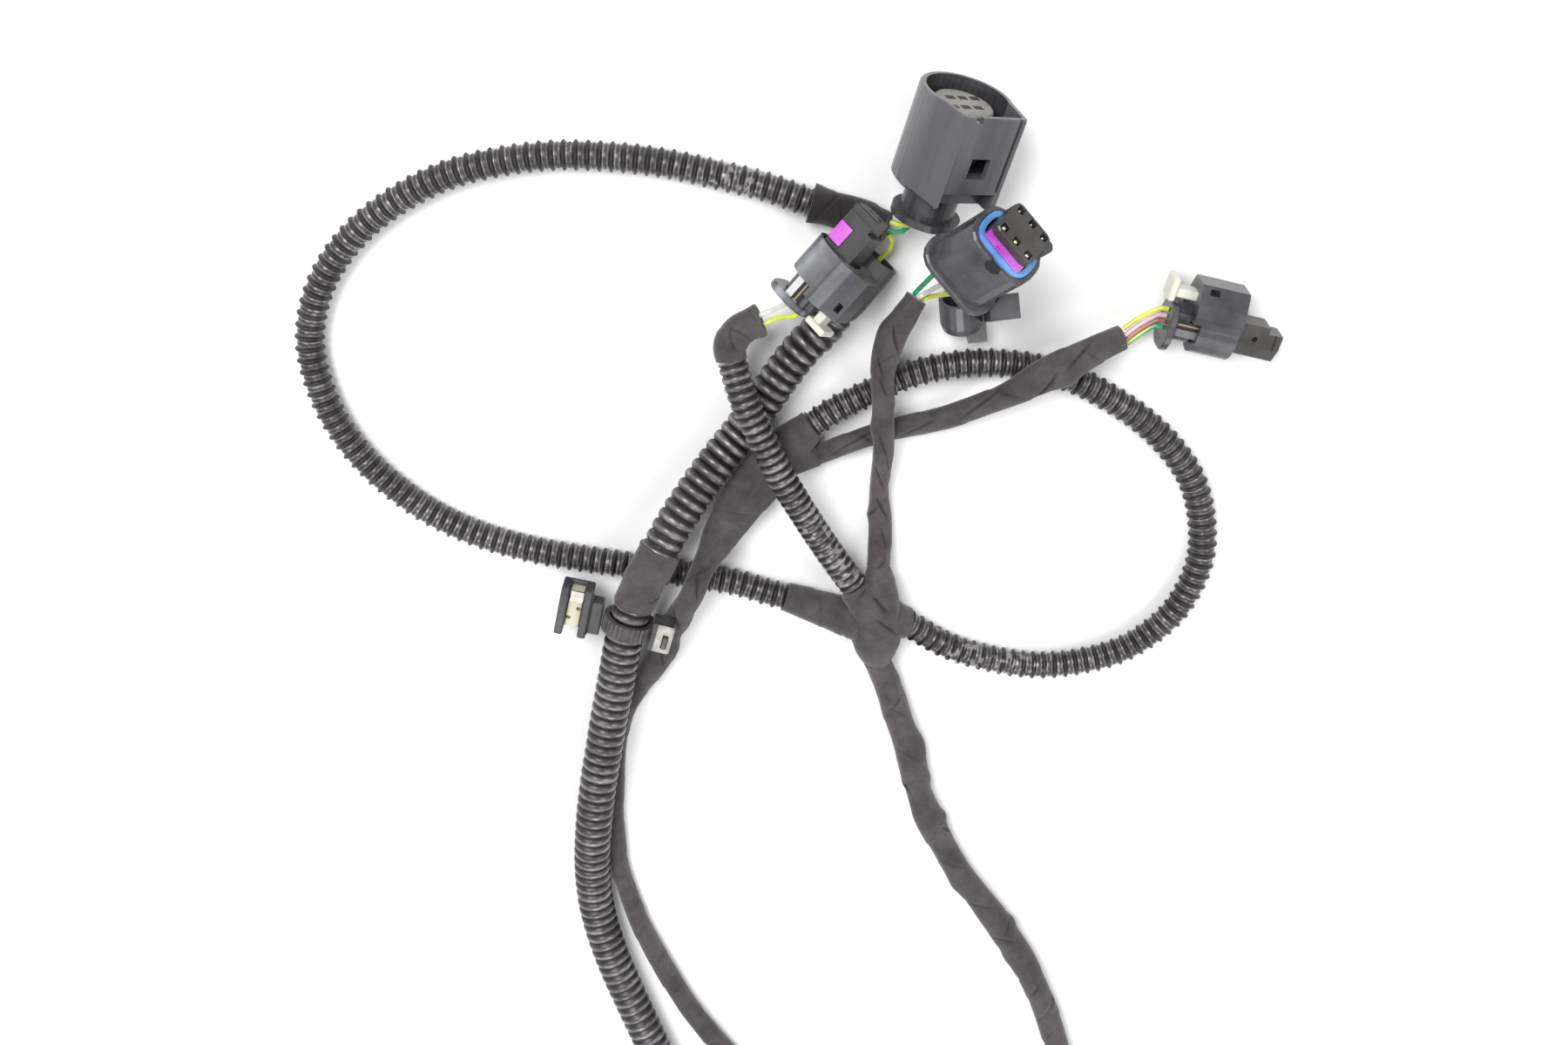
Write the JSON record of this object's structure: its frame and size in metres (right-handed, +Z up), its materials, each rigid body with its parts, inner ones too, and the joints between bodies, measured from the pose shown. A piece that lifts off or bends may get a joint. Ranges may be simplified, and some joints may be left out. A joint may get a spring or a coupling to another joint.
{
  "type": "wiring harness",
  "caption": "Vehicle wiring harness with looped corrugated conduits, cloth taped branches, multi-way plugs, an edge clip and a cable tie.",
  "frame": {"origin": "centre of the part's footprint on the surface it lies on", "axes": "+Z up, +Y towards the group of plugs, +X to the right in the picture"},
  "size_m": [0.3248, 0.4284, 0.0563],
  "materials": {
    "conduit_plastic": "semi-gloss black plastic",
    "cloth_tape": "matte dark cloth tape",
    "smooth_tape": "smooth dark sleeve",
    "housing_plastic": "charcoal moulded plastic",
    "insert_plastic": "grey moulded plastic",
    "insert_dark_plastic": "dark moulded plastic",
    "lock_plastic": "bright violet plastic",
    "seal_rubber": "blue sealing rubber",
    "slide_lock_plastic": "off-white plastic",
    "clip_plastic": "dark moulded plastic",
    "grip_plastic": "beige plastic",
    "spring_steel": "bright spring steel",
    "tie_plastic": "dark nylon",
    "wire_yellow": "yellow-green insulation",
    "wire_green": "green insulation",
    "wire_white": "white insulation",
    "wire_pink": "pink insulation",
    "wire_brown": "red-brown insulation"
  },
  "bodies": {
    "harness": {"conduit_left_loop": "conduit_plastic", "conduit_right_loop": "conduit_plastic", "conduit_middle": "conduit_plastic", "conduit_thick_upper": "conduit_plastic", "conduit_thick_lower": "conduit_plastic", "tape_sleeve": "cloth_tape", "trunk_bundle": "cloth_tape", "right_branch": "cloth_tape", "upper_branch": "cloth_tape", "lower_branch": "cloth_tape", "top_tape": "cloth_tape", "elbow_tape": "cloth_tape", "junction_left": "cloth_tape", "junction_right": "cloth_tape", "end_sleeve": "smooth_tape", "socket_housing": "housing_plastic", "socket_insert": "insert_plastic", "six_way_housing": "housing_plastic", "six_way_insert": "insert_dark_plastic", "six_way_seal": "seal_rubber", "six_way_lock": "lock_plastic", "plug_holder": "housing_plastic", "small_plug_housing": "housing_plastic", "small_plug_insert": "insert_dark_plastic", "small_plug_lock": "lock_plastic", "right_plug_housing": "housing_plastic", "right_plug_insert": "insert_dark_plastic", "right_plug_lock": "lock_plastic", "cable_tie": "tie_plastic", "tie_tail": "tie_plastic", "clip_body": "clip_plastic", "clip_grip": "grip_plastic", "clip_spring": "spring_steel", "thick_end_housing": "housing_plastic", "thick_end_insert": "insert_dark_plastic", "trunk_end_housing": "housing_plastic", "trunk_end_insert": "insert_dark_plastic", "branch_end_housing": "housing_plastic", "branch_end_insert": "insert_dark_plastic", "wire_small_white": "wire_white", "wire_small_yellow": "wire_yellow", "wire_right_yellow": "wire_yellow", "wire_right_pink": "wire_pink", "wire_right_brown": "wire_brown", "wire_right_green": "wire_green", "wire_six_green": "wire_green", "wire_six_white": "wire_white", "wire_six_yellow": "wire_yellow", "wire_socket_yellow": "wire_yellow", "wire_socket_green": "wire_green", "wire_sleeve_yellow": "wire_yellow"},
    "small_slide": {"small_plug_slide_lock": "slide_lock_plastic"},
    "right_slide": {"right_plug_slide_lock": "slide_lock_plastic"}
  },
  "joints": [
    {"name": "small_plug_lock_travel", "type": "slide", "parent": "harness", "child": "small_slide", "axis": [0.6508, 0.7567, 0.062], "range_m": [-0.0025, 0.003]},
    {"name": "right_plug_lock_travel", "type": "slide", "parent": "harness", "child": "right_slide", "axis": [0.9737, -0.2279, 0], "range_m": [0, 0.0055]}
  ]
}
